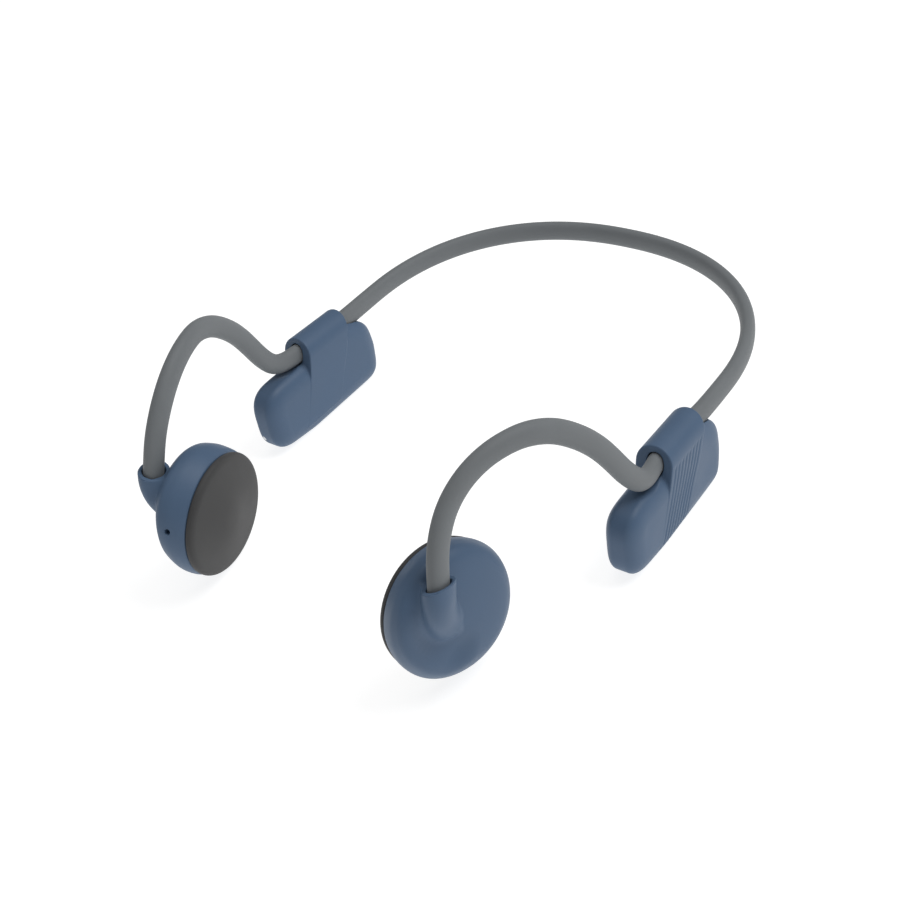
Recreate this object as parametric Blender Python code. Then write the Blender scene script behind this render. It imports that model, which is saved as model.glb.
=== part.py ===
"""Bone conduction headphones: two battery and control pods on a springy neckband, two ear hooks and two earpieces.

Lengths in this file are millimetres and become metres when a mesh is made. +X is the wearer's left,
-Y the front, +Z up. Shapes are drawn once for the left side and mirrored for the right.
"""
import math

import bmesh
import bpy
from mathutils import Vector

MM = 0.001
ORIGIN_Y = -7.3          # where the arch's front face lies, so that the whole object is centred on the origin
GAP = 0.3                # between pieces that touch

# neckband: a horizontal U, drawn as a superellipse from a straight run behind each pod
BAND_HALF_SPAN = 48.7
BAND_STRAIGHT_END = 31.0
BAND_DEPTH = 46.7
BAND_POWER = 2.2
BAND_HEIGHT = 19.05
BAND_REAR_RISE = 0.75
BAND_HALF_WIDE = 1.70
BAND_HALF_TALL = 2.55

# ear hook: centre line from inside the earpiece's collar, over the ear, into the pod's tunnel
HOOK_ROUTE = [
    (37.0, -59.3, 25.2),
    (36.3, -57.4, 30.6),
    (35.6, -54.3, 39.0),
    (36.2, -48.4, 45.8),
    (38.4, -40.6, 49.2),
    (41.4, -32.2, 49.0),
    (44.1, -23.9, 43.8),
    (46.6, -17.3, 35.9),
    (48.1, -11.9, 26.8),
    (49.1, -8.0, 21.7),
    (49.1, -4.6, 20.3),
    (48.5, -0.6, 20.3),
    (48.35, 3.4, 20.15),
    (48.35, 7.2, 19.9),
]
HOOK_HALF_WIDE = 1.76
HOOK_HALF_TALL = 2.43

BORE_HALF_WIDE = 0.95
BORE_HALF_TALL = 1.70
WIRE_RADIUS = 0.50
CABLE_RADIUS = 0.40
CORE_OFFSET = 0.85       # the wire runs this far above the centre line and the cable this far below
CLAMP_FRONT_Y = 5.7
CLAMP_REAR_Y = 9.7
CLAMP_HALF_WIDE = 1.25
CLAMP_BORE = 0.75

# pod: a flat rounded case; its outline lies in the YZ plane as corners (y, z, radius)
POD_X = 48.3
POD_HALF_THICK = 4.0
POD_EDGE = 2.7
POD_OUTLINE = [
    (23.3, 0.0, 4.6),
    (23.4, 11.0, 6.0),
    (18.8, 17.2, 8.0),
    (13.0, 22.0, 5.0),
    (3.0, 18.2, 3.0),
    (-17.1, 18.2, 6.5),
    (-17.1, 1.3, 6.5),
    (-3.0, 0.0, 12.0),
]
CAVITY_HALF_THICK = 2.7
CAVITY_EDGE = 1.2
CAVITY_OUTLINE = [
    (20.4, 1.5, 3.2),
    (20.4, 11.0, 3.6),
    (16.8, 15.2, 2.5),
    (-15.4, 15.2, 4.8),
    (-15.4, 2.8, 4.8),
    (-3.0, 1.5, 8.0),
]

# arch: the loop of the case over the tubes, its end faces leaning forward towards the bottom
ARCH_HALF_THICK = 4.1
ARCH_LENGTH = 15.3
ARCH_TOP = 24.8
ARCH_FOOT = 3.4
ARCH_FRONT_LEAN = 0.20
ARCH_REAR_LEAN = 0.30
ARCH_FALL = 0.096        # drop per length, towards the rear

TUNNEL_PLAY = 0.35
SPLIT_HALF_GAP = 0.15

# earpiece: rim centre, outward axis and long axis; the cup's profile is (depth, scale) from rim to crown
EAR_CENTRE = Vector((28.9, -49.8, 15.4))
EAR_OUT = Vector((0.966, -0.222, 0.132)).normalized()
EAR_LONG_HINT = Vector((-0.210, -0.377, 0.902))
EAR_HALF_LONG = 15.0
EAR_HALF_SHORT = 13.8
CUP_LEAN = 0.42          # the cup climbs along its long axis by this much per depth
CUP_PROFILE = [(0.0, 1.0), (2.0, 0.99), (4.0, 0.975), (5.5, 0.945), (7.0, 0.90), (8.2, 0.70), (9.0, 0.42)]
CUP_WALL = 1.3
CUP_HOLLOW = [(-1.0, 1.0), (1.2, 0.99), (5.0, 0.92), (6.8, 0.76)]
PAD_PROFILE = [(0.0, 0.99), (-0.9, 0.95), (-1.5, 0.86), (-2.0, 0.68), (-2.2, 0.40)]
RIDGE_HALF_WIDE = 2.75
RIDGE_HALF_TALL = 3.3
RIDGE_ROUTE = [(36.2, -57.0, 31.6), (36.8, -58.6, 26.5), (36.5, -58.4, 21.0), (35.4, -56.6, 16.5)]

# controls and socket of the right pod
VOLUME_BUTTON_Y = {"volume_down_button": 3.0, "volume_up_button": 11.0}
VOLUME_HALF_LENGTH = 3.0
VOLUME_HALF_WIDE = 1.25
VOLUME_RECESS = 0.25
MULTI_BUTTON_YZ = (-10.2, 9.4)
MULTI_RADIUS = 3.0
PORT_Z = 6.6
PORT_HALF_TALL = 4.0
PORT_HALF_WIDE = 1.65
FLAP_HALF_TALL = 4.7
FLAP_HALF_WIDE = 2.1
FLAP_FLOOR_Y = 22.0
LIGHT_XYZ = (49.8, -16.4, 5.2)
LIGHT_RADIUS = 0.5
MICROPHONE_TURN = math.radians(135.0)    # round the cup's wall, from the short axis
MICROPHONE_DEPTH = 4.2
MICROPHONE_HOLE = 0.6
MICROPHONE_RADIUS = 1.4

SHELL_BLUE = (0.085, 0.125, 0.190)
TUBE_GREY = (0.180, 0.190, 0.205)
PAD_GREY = (0.075, 0.075, 0.077)


def clear_scene():
    for old in list(bpy.data.objects):
        bpy.data.objects.remove(old, do_unlink=True)


def material(name, colour, roughness, metallic=0.0):
    """One Principled material."""
    made = bpy.data.materials.new(name)
    made.use_nodes = True
    shader = made.node_tree.nodes["Principled BSDF"]
    shader.inputs["Base Color"].default_value = (*colour, 1.0)
    shader.inputs["Roughness"].default_value = roughness
    shader.inputs["Metallic"].default_value = metallic
    return made


class Shape:
    """Vertices and faces in millimetres, drawn for the left side."""

    def __init__(self):
        self.points = []
        self.faces = []

    def ring(self, points):
        start = len(self.points)
        self.points.extend(Vector(p) for p in points)
        return list(range(start, len(self.points)))

    def bridge(self, first, second):
        count = len(first)
        for i in range(count):
            j = (i + 1) % count
            self.faces.append((first[i], first[j], second[j], second[i]))

    def cap(self, ring, flip=False):
        self.faces.append(tuple(reversed(ring)) if flip else tuple(ring))


def loft(rings):
    """A closed solid through rings of equal count, capped at both ends."""
    shape = Shape()
    rows = [shape.ring(r) for r in rings]
    for first, second in zip(rows, rows[1:]):
        shape.bridge(first, second)
    shape.cap(rows[0], flip=True)
    shape.cap(rows[-1])
    return shape


def hollow(outer_rings, inner_rings):
    """A tube open at both ends: an outer skin, a bore and two annular ends."""
    shape = Shape()
    outer = [shape.ring(r) for r in outer_rings]
    inner = [shape.ring(r) for r in inner_rings]
    for first, second in zip(outer, outer[1:]):
        shape.bridge(first, second)
    for first, second in zip(inner, inner[1:]):
        shape.bridge(second, first)
    shape.bridge(inner[0], outer[0])
    shape.bridge(outer[-1], inner[-1])
    return shape


def cup(outer_rings, inner_rings):
    """An open cup: outer skin from rim to crown, inner skin from rim to floor."""
    shape = Shape()
    outer = [shape.ring(r) for r in outer_rings]
    inner = [shape.ring(r) for r in inner_rings]
    for first, second in zip(outer, outer[1:]):
        shape.bridge(first, second)
    for first, second in zip(inner, inner[1:]):
        shape.bridge(second, first)
    shape.bridge(inner[0], outer[0])
    shape.cap(outer[-1])
    shape.cap(inner[-1], flip=True)
    return shape


def build_mesh(name, shape, mirrored):
    """Write a shape as a mesh in metres, with its faces pointing out."""
    mesh = bmesh.new()
    side = -1.0 if mirrored else 1.0
    made = [mesh.verts.new((side * p.x * MM, (p.y + ORIGIN_Y) * MM, p.z * MM)) for p in shape.points]
    for face in shape.faces:
        mesh.faces.new([made[i] for i in face])
    bmesh.ops.recalc_face_normals(mesh, faces=mesh.faces)
    if mesh.calc_volume(signed=True) < 0.0:
        bmesh.ops.reverse_faces(mesh, faces=mesh.faces)
    data = bpy.data.meshes.new(name)
    mesh.to_mesh(data)
    mesh.free()
    return data


def add(name, shape, finish, mirrored=False):
    """One visible piece of the object."""
    data = build_mesh(name, shape, mirrored)
    data.materials.append(finish)
    data.shade_smooth()
    data.set_sharp_from_angle(angle=math.radians(35.0))
    made = bpy.data.objects.new(name, data)
    bpy.context.scene.collection.objects.link(made)
    return made


def cutter(name, shape, mirrored=False):
    """A guide solid for a Boolean, left out of the object."""
    made = bpy.data.objects.new(name, build_mesh(name, shape, mirrored))
    bpy.context.scene.collection.objects.link(made)
    made.hide_render = True
    made.display_type = "WIRE"
    return made


def boolean(target, tool, operation):
    change = target.modifiers.new(tool.name, "BOOLEAN")
    change.operation = operation
    change.solver = "EXACT"
    change.object = tool


# ---------------------------------------------------------------- curves and sections

def catmull(points, steps):
    """A smooth curve through points, as an even list of stations."""
    route = [Vector(p) for p in points]
    ends = [2 * route[0] - route[1], *route, 2 * route[-1] - route[-2]]
    out = []
    for i in range(1, len(ends) - 2):
        a, b, c, d = ends[i - 1:i + 3]
        for s in range(steps):
            t = s / steps
            out.append(0.5 * (2 * b + (c - a) * t + (2 * a - 5 * b + 4 * c - d) * t * t
                              + (3 * b - a - 3 * c + d) * t ** 3))
    out.append(route[-1])
    return out


def section(centre, wide, tall, half_wide, half_tall, sides, power=2.0):
    """A superellipse ring round a centre."""
    ring = []
    for i in range(sides):
        turn = 2.0 * math.pi * (i + 0.5) / sides
        c, s = math.cos(turn), math.sin(turn)
        u = math.copysign(abs(c) ** (2.0 / power), c) * half_wide
        v = math.copysign(abs(s) ** (2.0 / power), s) * half_tall
        ring.append(centre + wide * u + tall * v)
    return ring


def stations(route, wide_hint):
    """Centre, wide and tall directions at each point of a route."""
    out = []
    for i, point in enumerate(route):
        ahead = (route[min(i + 1, len(route) - 1)] - route[max(i - 1, 0)]).normalized()
        hint = wide_hint(ahead)
        wide = (hint - ahead * hint.dot(ahead)).normalized()
        out.append((point, wide, wide.cross(ahead).normalized()))
    return out


def sweep_rings(line, half_wide, half_tall, sides, power=2.0, offset=0.0):
    return [section(p + tall * offset, wide, tall, half_wide, half_tall, sides, power) for p, wide, tall in line]


def round_outline(corners, steps=5):
    """A closed outline in (y, z) from corners with radii."""
    out = []
    count = len(corners)
    for i, (y, z, radius) in enumerate(corners):
        here = Vector((y, z))
        before = Vector(corners[i - 1][:2]) - here
        after = Vector(corners[(i + 1) % count][:2]) - here
        half = before.angle(after) / 2.0
        reach = min(radius / math.tan(half), 0.49 * before.length, 0.49 * after.length)
        start = here + before.normalized() * reach
        end = here + after.normalized() * reach
        for s in range(steps + 1):
            t = s / steps
            out.append((1 - t) ** 2 * start + 2 * t * (1 - t) * here + t * t * end)
    return out


def inset(outline, amount):
    """The outline moved inwards by an amount, along its own normals."""
    out = []
    count = len(outline)
    for i in range(count):
        along = outline[(i + 1) % count] - outline[i - 1]
        normal = Vector((-along.y, along.x)).normalized()
        out.append(outline[i] + normal * amount)
    return out


def slab_rings(outline, half_thick, edge, edge_steps=3):
    """Rings of a flat case with rounded edges, from its inner face to its outer face."""
    levels = []
    for s in range(edge_steps + 1):
        turn = 0.5 * math.pi * s / edge_steps
        levels.append((half_thick - edge * (1 - math.sin(turn)), edge * (1 - math.cos(turn))))
    levels = [(-x, amount) for x, amount in reversed(levels)] + levels
    return [[(POD_X + x, p.x, p.y) for p in inset(outline, amount)] for x, amount in levels]


def box(low, high):
    (x0, y0, z0), (x1, y1, z1) = low, high
    square = [(x0, y0), (x1, y0), (x1, y1), (x0, y1)]
    return loft([[(x, y, z) for x, y in square] for z in (z0, z1)])


def cylinder(start, end, radius, sides=20):
    """A round bar between two points."""
    start, end = Vector(start), Vector(end)
    ahead = (end - start).normalized()
    hint = Vector((0, 0, 1)) if abs(ahead.z) < 0.9 else Vector((1, 0, 0))
    wide = hint.cross(ahead).normalized()
    tall = ahead.cross(wide)
    return loft([section(p, wide, tall, radius, radius, sides) for p in (start, end)])


def washer(start, end, radius, bore, sides=24):
    """A ring with a round bore, between two points on its axis."""
    start, end = Vector(start), Vector(end)
    ahead = (end - start).normalized()
    wide = Vector((0, 0, 1)).cross(ahead).normalized()
    tall = ahead.cross(wide)
    return hollow([section(p, wide, tall, radius, radius, sides) for p in (start, end)],
                  [section(p, wide, tall, bore, bore, sides) for p in (start, end)])


# ---------------------------------------------------------------- neckband and hooks

def tunnel_height(y):
    return 20.35 - 0.063 * y


def band_route():
    """The whole U, from the left tunnel round the back to the right tunnel."""
    half = [Vector((48.35, y, tunnel_height(y))) for y in (8.1, 10.1, 13.0, 16.5)]
    half += [Vector((48.55, 20.0, 19.12)), Vector((48.68, 25.5, 19.05))]
    steps = 15
    for i in range(steps + 1):
        turn = 0.5 * math.pi * i / steps
        x = BAND_HALF_SPAN * math.cos(turn) ** (2.0 / BAND_POWER)
        rise = math.sin(turn) ** (2.0 / BAND_POWER)
        y = BAND_STRAIGHT_END + BAND_DEPTH * rise
        half.append(Vector((x, y, BAND_HEIGHT + BAND_REAR_RISE * rise * rise)))
    other = [Vector((-p.x, p.y, p.z)) for p in reversed(half[:-1])]
    return half + other


def level(ahead):
    return ahead.cross(Vector((0, 0, 1)))


def sideways(_ahead):
    return Vector((1, 0, 0))


def add_neckband(rubber, metal, jacket):
    line = stations(band_route(), level)
    covered = line[1:-1]
    add("neckband_cover", hollow(sweep_rings(covered, BAND_HALF_WIDE, BAND_HALF_TALL, 14, 2.3),
                                 sweep_rings(covered, BORE_HALF_WIDE, BORE_HALF_TALL, 14)), rubber)
    add("neckband_wire", loft(sweep_rings(line, WIRE_RADIUS, WIRE_RADIUS, 8, offset=CORE_OFFSET)), metal)
    add("neckband_cable", loft(sweep_rings(line, CABLE_RADIUS, CABLE_RADIUS, 6, offset=-CORE_OFFSET)), jacket)


def add_hook(side, mirrored, rubber, metal, jacket):
    line = stations(catmull(HOOK_ROUTE, 2), sideways)
    covered = line[:-1]
    add(f"ear_hook_cover_{side}", hollow(sweep_rings(covered, HOOK_HALF_WIDE, HOOK_HALF_TALL, 14, 2.1),
                                         sweep_rings(covered, BORE_HALF_WIDE, BORE_HALF_TALL, 14)), rubber, mirrored)
    add(f"ear_hook_wire_{side}", loft(sweep_rings(line, WIRE_RADIUS, WIRE_RADIUS, 8, offset=CORE_OFFSET)),
        metal, mirrored)
    add(f"ear_hook_cable_{side}", loft(sweep_rings(line, CABLE_RADIUS, CABLE_RADIUS, 6, offset=-CORE_OFFSET)),
        jacket, mirrored)


# ---------------------------------------------------------------- pods

def arch_shape():
    """A D-shaped loop: flat sides, a half-round top and leaning end faces."""
    top_centre = ARCH_TOP - ARCH_HALF_THICK
    profile = [(-ARCH_HALF_THICK, ARCH_FOOT), (ARCH_HALF_THICK, ARCH_FOOT)]
    steps = 12
    for i in range(steps + 1):
        turn = math.pi * i / steps
        profile.append((ARCH_HALF_THICK * math.cos(turn), top_centre + ARCH_HALF_THICK * math.sin(turn)))
    front, rear = [], []
    for x, z in profile:
        y_front = -(ARCH_TOP - z) * ARCH_FRONT_LEAN
        y_rear = ARCH_LENGTH - (ARCH_TOP - z) * ARCH_REAR_LEAN
        front.append((POD_X + x, y_front, z - ARCH_FALL * max(y_front, 0.0)))
        rear.append((POD_X + x, y_rear, z - ARCH_FALL * y_rear))
    return loft([front, rear])


def tunnel_shape():
    """The space that both tubes take inside the case, with play round them."""
    hook = catmull(HOOK_ROUTE, 2)[16:]
    route = hook + [Vector((48.35, y, tunnel_height(y))) for y in (9.0, 12.0, 16.0)] + [Vector((48.5, 20.0, 19.12))]
    line = stations(route, sideways)
    return loft(sweep_rings(line, HOOK_HALF_WIDE + TUNNEL_PLAY, BAND_HALF_TALL + TUNNEL_PLAY, 16, 2.2))


def case_body():
    return loft(slab_rings(round_outline(POD_OUTLINE), POD_HALF_THICK, POD_EDGE))


def cavity_shape():
    return loft(slab_rings(round_outline(CAVITY_OUTLINE, 4), CAVITY_HALF_THICK, CAVITY_EDGE, 2))


def half_space(outer):
    """Everything on the far side of the case's parting plane."""
    reach = 20.0
    if outer:
        return box((POD_X - reach, -40, -10), (POD_X + SPLIT_HALF_GAP, 40, 40))
    return box((POD_X - SPLIT_HALF_GAP, -40, -10), (POD_X + reach, 40, 40))


def control_cutters():
    """Openings of the right pod: name and solid."""
    cuts = []
    for name, y in VOLUME_BUTTON_Y.items():
        low = (POD_X - VOLUME_HALF_WIDE - GAP, y - VOLUME_HALF_LENGTH - GAP, -2.0)
        high = (POD_X + VOLUME_HALF_WIDE + GAP, y + VOLUME_HALF_LENGTH + GAP, 2.4)
        cuts.append((f"cut_{name}", box(low, high)))
    y, z = MULTI_BUTTON_YZ
    cuts.append(("cut_multi_button", cylinder((POD_X + 2.2, y, z), (POD_X + 6.0, y, z), MULTI_RADIUS + GAP)))
    port_low = (POD_X - PORT_HALF_WIDE, 19.0, PORT_Z - PORT_HALF_TALL)
    port_high = (POD_X + PORT_HALF_WIDE, 25.0, PORT_Z + PORT_HALF_TALL)
    cuts.append(("cut_port", box(port_low, port_high)))
    flap_low = (POD_X - FLAP_HALF_WIDE - GAP, FLAP_FLOOR_Y - GAP, PORT_Z - FLAP_HALF_TALL - GAP)
    flap_high = (POD_X + FLAP_HALF_WIDE + GAP, 26.0, PORT_Z + FLAP_HALF_TALL + GAP)
    cuts.append(("cut_flap", box(flap_low, flap_high)))
    x, y, z = LIGHT_XYZ
    cuts.append(("cut_light", cylinder((x, y + 4.0, z), (x, y - 3.0, z), LIGHT_RADIUS + GAP, 14)))
    return cuts


def add_pod(side, mirrored, plastic):
    arch = cutter(f"guide_arch_{side}", arch_shape(), mirrored)
    tunnel = cutter(f"guide_tunnel_{side}", tunnel_shape(), mirrored)
    cavity = cutter(f"guide_cavity_{side}", cavity_shape(), mirrored)
    openings = [cutter(name, shape, True) for name, shape in control_cutters()] if mirrored else []
    for shell, outer in (("outer", True), ("inner", False)):
        piece = add(f"pod_{shell}_shell_{side}", case_body(), plastic, mirrored)
        boolean(piece, arch, "UNION")
        boolean(piece, tunnel, "DIFFERENCE")
        boolean(piece, cavity, "DIFFERENCE")
        for opening in openings:
            boolean(piece, opening, "DIFFERENCE")
        boolean(piece, cutter(f"guide_split_{shell}_{side}", half_space(outer), mirrored), "DIFFERENCE")


def add_clamp(side, mirrored, metal):
    """A crimp sleeve in the tunnel, round the ends of the hook's wire and the band's wire."""
    front, rear = [Vector((48.35, y, tunnel_height(y) + CORE_OFFSET)) for y in (CLAMP_FRONT_Y, CLAMP_REAR_Y)]
    tall = Vector((0, 0, 1))
    wide = Vector((1, 0, 0))
    outer = [section(p, wide, tall, CLAMP_HALF_WIDE, CLAMP_HALF_WIDE, 16, 3.0) for p in (front, rear)]
    inner = [section(p, wide, tall, CLAMP_BORE, CLAMP_BORE, 16) for p in (front, rear)]
    add(f"wire_clamp_{side}", hollow(outer, inner), metal, mirrored)


# ---------------------------------------------------------------- contents of the pods

def add_left_contents(foil, board):
    x = POD_X
    add("battery_cell", box((x - 2.1, -9.8, 3.2), (x + 2.1, 15.8, 13.6)), foil)
    add("battery_board", box((x - 2.0, -11.2, 4.4), (x + 2.0, -10.2, 13.0)), board)


def add_right_contents(board, metal, dark):
    x = POD_X
    add("main_board", box((x - 0.2, -13.4, 4.2), (x + 0.6, 14.3, 14.4)), board, True)
    add("radio_module", box((x - 2.1, -4.0, 6.0), (x - 0.5, 8.0, 14.0)), metal, True)
    socket_low = (x - 1.35, 14.7, PORT_Z - 3.7)
    socket_high = (x + 1.35, 20.1, PORT_Z + 3.7)
    socket = add("charging_socket", box(socket_low, socket_high), metal, True)
    mouth = box((x - 1.0, 15.6, PORT_Z - 3.3), (x + 1.0, 22.0, PORT_Z + 3.3))
    boolean(socket, cutter("cut_socket_mouth", mouth, True), "DIFFERENCE")
    for name, y in VOLUME_BUTTON_Y.items():
        switch = name.replace("_button", "_switch")
        add(switch, box((x - 1.3, y - 1.5, 2.65), (x + 1.3, y + 1.5, 3.9)), dark, True)
    y, z = MULTI_BUTTON_YZ
    add("multi_switch", box((x + 0.9, y - 1.6, z - 1.6), (x + 1.5, y + 1.6, z + 1.6)), dark, True)


def add_controls(plastic, rubber, clear):
    x = POD_X
    for name, y in VOLUME_BUTTON_Y.items():
        outline = [(1.8, 1.9, 3.6), (2.3, 1.9, 3.6)]
        stem = box((x - VOLUME_HALF_WIDE, y - VOLUME_HALF_LENGTH, VOLUME_RECESS),
                   (x + VOLUME_HALF_WIDE, y + VOLUME_HALF_LENGTH, 2.1))
        (low_z, half_wide, half_long), (high_z, _, _) = outline
        flange = box((x - half_wide, y - half_long, low_z), (x + half_wide, y + half_long, high_z))
        button = add(name, stem, plastic, True)
        boolean(button, cutter(f"guide_{name}", flange, True), "UNION")
    y, z = MULTI_BUTTON_YZ
    button = add("multi_button", cylinder((x + 2.1, y, z), (x + 4.1, y, z), MULTI_RADIUS), plastic, True)
    flange = cylinder((x + 1.85, y, z), (x + 2.4, y, z), MULTI_RADIUS + 0.7)
    boolean(button, cutter("guide_multi_flange", flange, True), "UNION")
    flap = add("port_cover", case_body(), rubber, True)
    keep = box((x - FLAP_HALF_WIDE, FLAP_FLOOR_Y, PORT_Z - FLAP_HALF_TALL),
               (x + FLAP_HALF_WIDE, 27.0, PORT_Z + FLAP_HALF_TALL))
    boolean(flap, cutter("guide_flap", keep, True), "INTERSECT")
    plug = box((x - 0.7, FLAP_FLOOR_Y - 0.8, PORT_Z - 2.9), (x + 0.7, FLAP_FLOOR_Y + 0.4, PORT_Z + 2.9))
    boolean(flap, cutter("guide_plug", plug, True), "UNION")
    lx, ly, lz = LIGHT_XYZ
    add("status_light", cylinder((lx, ly + 3.0, lz), (lx, ly - 0.1, lz), LIGHT_RADIUS, 12), clear, True)


# ---------------------------------------------------------------- earpieces

def ear_axes():
    long_axis = (EAR_LONG_HINT - EAR_OUT * EAR_LONG_HINT.dot(EAR_OUT)).normalized()
    return long_axis.cross(EAR_OUT).normalized(), long_axis


def ear_ring(depth, scale, less=0.0, sides=32):
    """A ring of the earpiece's oval at a depth outward from the rim."""
    short_axis, long_axis = ear_axes()
    centre = EAR_CENTRE + EAR_OUT * depth + long_axis * CUP_LEAN * max(depth, 0.0)
    return section(centre, short_axis, long_axis, EAR_HALF_SHORT * scale - less, EAR_HALF_LONG * scale - less, sides)


def ear_point(across, along, depth):
    short_axis, long_axis = ear_axes()
    return EAR_CENTRE + short_axis * across + long_axis * along + EAR_OUT * depth


def microphone_place():
    """The microphone hole's mouth on the cup's wall, and the way in."""
    short_axis, long_axis = ear_axes()
    out = -(short_axis * math.cos(MICROPHONE_TURN) + long_axis * math.sin(MICROPHONE_TURN))
    across = EAR_HALF_SHORT * 0.97 * math.cos(MICROPHONE_TURN)
    along = EAR_HALF_LONG * 0.97 * math.sin(MICROPHONE_TURN) + CUP_LEAN * MICROPHONE_DEPTH
    return ear_point(across, along, MICROPHONE_DEPTH), out


def ridge_shape():
    """The collar and the ridge that runs down the earpiece's outer face from it."""
    line = stations(catmull(RIDGE_ROUTE, 3), sideways)
    rings = []
    count = len(line)
    for i, (point, wide, tall) in enumerate(line):
        t = i / (count - 1)
        taper = 1.0 - 0.35 * max(0.0, (t - 0.6) / 0.4) ** 2
        rings.append(section(point, wide, tall, RIDGE_HALF_WIDE * taper, RIDGE_HALF_TALL * taper, 18))
    return loft(rings)


def add_earpiece(side, mirrored, plastic, rubber, metal, magnet, copper):
    outer = [ear_ring(depth, scale) for depth, scale in CUP_PROFILE]
    inner = [ear_ring(depth, scale, CUP_WALL) for depth, scale in CUP_HOLLOW]
    housing = add(f"earpiece_housing_{side}", loft(outer), plastic, mirrored)
    boolean(housing, cutter(f"guide_ridge_{side}", ridge_shape(), mirrored), "UNION")
    boolean(housing, cutter(f"guide_cup_{side}", loft(inner), mirrored), "DIFFERENCE")
    socket_route = [Vector(p) for p in ((35.9, -56.3, 34.0), HOOK_ROUTE[1], HOOK_ROUTE[0])]
    ahead = (socket_route[-1] - socket_route[-2]).normalized()
    socket_route[-1] = socket_route[-1] + ahead * GAP
    line = stations(socket_route, sideways)
    socket = loft(sweep_rings(line, HOOK_HALF_WIDE + TUNNEL_PLAY, HOOK_HALF_TALL + TUNNEL_PLAY, 16, 2.1))
    boolean(housing, cutter(f"guide_socket_{side}", socket, mirrored), "DIFFERENCE")
    if mirrored:
        mouth, inward = microphone_place()
        hole = cylinder(mouth - inward * 2.0, mouth + inward * 2.5, MICROPHONE_HOLE, 12)
        boolean(housing, cutter("cut_microphone", hole, True), "DIFFERENCE")
        body = cylinder(mouth + inward * (CUP_WALL + 1.5), mouth + inward * (CUP_WALL + 2.5), MICROPHONE_RADIUS, 16)
        add("microphone", body, metal, True)

    pad_outer = [ear_ring(depth - GAP, scale) for depth, scale in PAD_PROFILE]
    shape = Shape()
    rows = [shape.ring(r) for r in pad_outer]
    for first, second in zip(rows, rows[1:]):
        shape.bridge(first, second)
    shape.cap(rows[-1])
    shape.cap(rows[0], flip=True)
    add(f"earpiece_pad_{side}", shape, rubber, mirrored)

    at = ear_point
    add(f"vibration_plate_{side}", cylinder(at(0, 0, 0.2), at(0, 0, 1.0), 9.6, 24), metal, mirrored)
    add(f"voice_coil_{side}", washer(at(0, 0, 1.3), at(0, 0, 3.6), 5.6, 5.0), copper, mirrored)
    add(f"transducer_magnet_{side}", cylinder(at(0, 0, 1.6), at(0, 0, 4.6), 4.6, 20), magnet, mirrored)
    yoke_outer = [section_round(at(0, 0, d), 6.9) for d in (1.9, 6.0)]
    yoke_inner = [section_round(at(0, 0, d), 5.95) for d in (1.9, 4.9)]
    add(f"transducer_yoke_{side}", cup(yoke_outer, yoke_inner), metal, mirrored)


def section_round(centre, radius, sides=24):
    short_axis, long_axis = ear_axes()
    return section(centre, short_axis, long_axis, radius, radius, sides)


def main():
    clear_scene()
    plastic = material("blue_shell", SHELL_BLUE, 0.5)
    rubber = material("grey_rubber", TUBE_GREY, 0.6)
    pad = material("dark_rubber", PAD_GREY, 0.65)
    metal = material("spring_steel", (0.6, 0.6, 0.62), 0.35, 1.0)
    jacket = material("cable_jacket", (0.03, 0.03, 0.03), 0.5)
    foil = material("battery_foil", (0.55, 0.56, 0.58), 0.4, 0.6)
    board = material("circuit_board", (0.02, 0.12, 0.05), 0.5)
    dark = material("black_plastic", (0.03, 0.03, 0.03), 0.5)
    copper = material("copper_wire", (0.72, 0.32, 0.16), 0.4, 1.0)
    magnet = material("magnet_nickel", (0.66, 0.64, 0.60), 0.3, 1.0)
    clear = material("light_window", (0.8, 0.8, 0.8), 0.3)

    add_neckband(rubber, metal, jacket)
    for side, mirrored in (("left", False), ("right", True)):
        add_hook(side, mirrored, rubber, metal, jacket)
        add_pod(side, mirrored, plastic)
        add_clamp(side, mirrored, metal)
        add_earpiece(side, mirrored, plastic, pad, metal, magnet, copper)
    add_left_contents(foil, board)
    add_right_contents(board, metal, dark)
    add_controls(dark, rubber, clear)


main()
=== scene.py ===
"""Looks of the bone conduction headphones: camera, light, detailed pieces and materials on the CAD frame.

Lengths are millimetres in the CAD's own drawing coordinates, whose y starts at the top of the arch's front
face, until a mesh is made.
+X is the wearer's left, -Y the front, +Z up. Pieces are drawn for the left side and mirrored for the right.
"""
import math

import bpy
import numpy as np
from mathutils import Matrix, Vector


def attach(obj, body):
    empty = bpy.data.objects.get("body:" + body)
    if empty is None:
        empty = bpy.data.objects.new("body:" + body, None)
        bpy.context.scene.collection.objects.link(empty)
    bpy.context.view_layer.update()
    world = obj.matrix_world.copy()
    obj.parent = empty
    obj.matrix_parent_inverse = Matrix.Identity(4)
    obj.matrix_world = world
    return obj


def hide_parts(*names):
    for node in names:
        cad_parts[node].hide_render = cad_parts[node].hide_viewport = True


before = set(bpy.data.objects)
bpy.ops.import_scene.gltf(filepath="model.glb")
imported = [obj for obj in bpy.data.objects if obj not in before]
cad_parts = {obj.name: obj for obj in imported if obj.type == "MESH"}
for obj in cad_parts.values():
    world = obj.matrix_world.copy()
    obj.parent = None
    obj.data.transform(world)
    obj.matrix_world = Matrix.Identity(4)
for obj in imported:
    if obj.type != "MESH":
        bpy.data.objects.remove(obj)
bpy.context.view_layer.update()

MM = 0.001
ORIGIN_Y = -7.3
DETAIL = 1.0

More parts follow.
